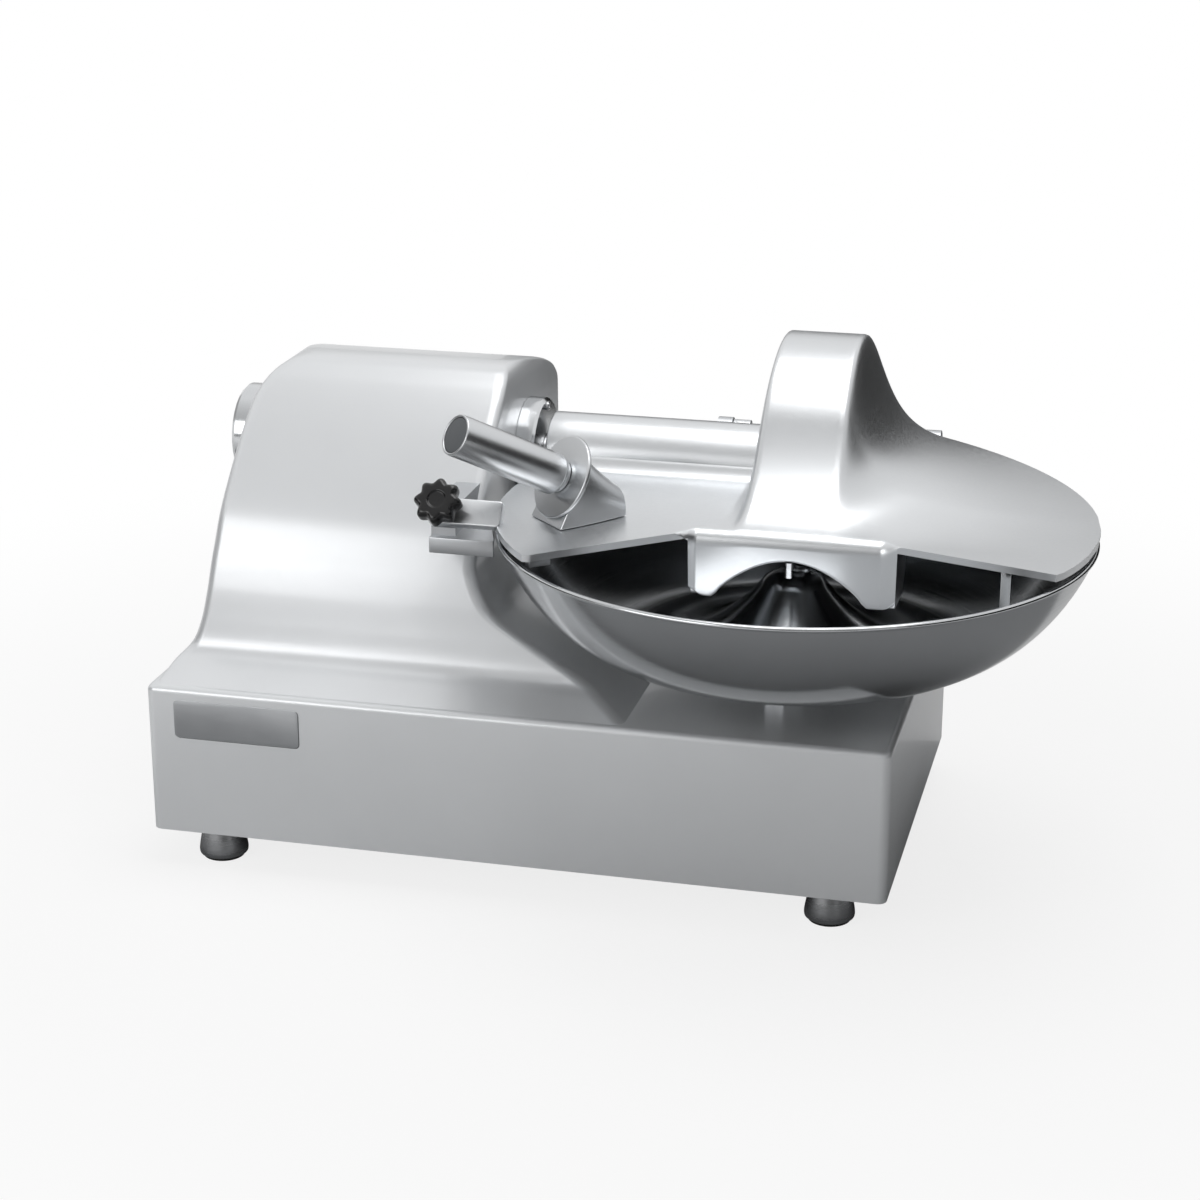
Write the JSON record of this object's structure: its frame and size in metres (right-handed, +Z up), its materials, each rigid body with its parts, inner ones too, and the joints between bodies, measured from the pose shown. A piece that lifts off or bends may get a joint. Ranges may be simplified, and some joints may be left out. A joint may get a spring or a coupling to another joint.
{
  "type": "meat bowl cutter",
  "caption": "Bench-top meat bowl cutter with a tall cast motor tower, a turning stainless bowl, crescent knives on a shaft and a humped lid that swings up and locks.",
  "frame": {"origin": "on the standing surface, below the middle of the overall box", "axes": "+Z up, +X towards the bowl end, -Y towards the operator"},
  "size_m": [0.68, 0.441, 0.385],
  "materials": {
    "painted_casting": "smooth satin silver-white paint on the casting",
    "cast_aluminium": "satin, finely blasted casting",
    "polished_steel": "polished stainless steel",
    "turned_steel": "turned, darker steel",
    "knife_steel": "ground and honed",
    "motor_iron": "dark painted iron",
    "copper_winding": "lacquered copper windings in a laminated core",
    "bearing_steel": "ground bearing rings",
    "bronze": "machined bronze",
    "belt_rubber": "matt belt rubber",
    "black_plastic": "glossy moulded plastic",
    "green_plastic": "moulded plastic",
    "red_plastic": "moulded plastic",
    "grey_plastic": "moulded plastic"
  },
  "bodies": {
    "machine_frame": {"base_cover": "turned_steel", "bearing_housing": "polished_steel", "boss_bearing": "bearing_steel", "contact_block": "black_plastic", "drive_belt": "belt_rubber", "front_left_foot": "turned_steel", "front_right_foot": "turned_steel", "gearbox_cover": "cast_aluminium", "gearbox_housing": "cast_aluminium", "housing": "painted_casting", "left_bearing": "bearing_steel", "left_end_bell": "motor_iron", "left_hinge_pin": "turned_steel", "left_hinge_post": "cast_aluminium", "left_worm_bearing": "bearing_steel", "lock_bracket": "cast_aluminium", "lower_spindle_bearing": "bearing_steel", "middle_bearing": "bearing_steel", "motor_frame": "motor_iron", "motor_stand": "motor_iron", "power_inlet": "black_plastic", "rear_cap": "polished_steel", "rear_left_foot": "turned_steel", "rear_right_foot": "turned_steel", "right_end_bell": "motor_iron", "right_hinge_pin": "turned_steel", "right_hinge_post": "cast_aluminium", "right_worm_bearing": "bearing_steel", "spindle_pedestal": "polished_steel", "stator_core": "copper_winding", "switch_plate": "grey_plastic", "upper_spindle_bearing": "bearing_steel"},
    "knife_drive": {"knife_shaft": "polished_steel", "motor_rotor": "turned_steel", "cooling_fan": "grey_plastic", "drive_pulley": "motor_iron", "inner_knife": "knife_steel", "outer_knife": "knife_steel", "knife_hub": "polished_steel", "knife_collar": "polished_steel", "knife_nut": "polished_steel"},
    "worm_drive": {"worm_shaft": "turned_steel", "worm_screw": "turned_steel", "driven_pulley": "motor_iron"},
    "bowl_drive": {"bowl": "polished_steel", "bowl_spindle": "polished_steel", "worm_wheel": "bronze"},
    "lid": {"lid_casting": "cast_aluminium", "handle_boss": "cast_aluminium", "guard_disc": "polished_steel", "handle_tube": "polished_steel", "handle_end_cap": "grey_plastic", "bowl_scraper": "polished_steel", "arch_pin": "turned_steel", "corner_tab": "cast_aluminium"},
    "knob": {"star_knob": "black_plastic"},
    "pin": {"lock_pin": "turned_steel"},
    "start": {"start_button": "green_plastic"},
    "stop": {"stop_button": "red_plastic"}
  },
  "joints": [
    {"name": "knife_spin", "type": "hinge", "parent": "machine_frame", "child": "knife_drive", "pos_m": [0.1245, 0.102, 0.282], "axis": [1, 0, 0], "continuous": true},
    {"name": "worm_spin", "type": "hinge", "parent": "machine_frame", "child": "worm_drive", "pos_m": [0.1245, 0.0353, 0.088], "axis": [1, 0, 0], "continuous": true},
    {"name": "bowl_spin", "type": "hinge", "parent": "machine_frame", "child": "bowl_drive", "pos_m": [0.1245, -0.005, 0.18], "axis": [0, 0, 1], "continuous": true},
    {"name": "lid_hinge", "type": "hinge", "parent": "machine_frame", "child": "lid", "pos_m": [0.1105, 0.21, 0.279], "axis": [-1, 0, 0], "range_deg": [0, 100]},
    {"name": "knob_turn", "type": "hinge", "parent": "lid", "child": "knob", "pos_m": [-0.117, -0.072, 0.2807], "axis": [0, 0.766, -0.6428], "range_deg": [0, 1080]},
    {"name": "pin_slide", "type": "slide", "parent": "lid", "child": "pin", "axis": [0, 0.766, -0.6428], "range_m": [0, 0.004]},
    {"name": "start_push", "type": "slide", "parent": "machine_frame", "child": "start", "axis": [1, 0, 0], "range_m": [0, 0.003], "stiffness_N_per_m": 400},
    {"name": "stop_push", "type": "slide", "parent": "machine_frame", "child": "stop", "axis": [1, 0, 0], "range_m": [0, 0.003], "stiffness_N_per_m": 400}
  ],
  "couplings": [
    {"joint": "worm_spin", "follows": "knife_spin", "ratio": 0.5},
    {"joint": "bowl_spin", "follows": "knife_spin", "ratio": 0.016667},
    {"joint": "pin_slide", "follows": "knob_turn", "m_per_rad": 0.000212}
  ]
}
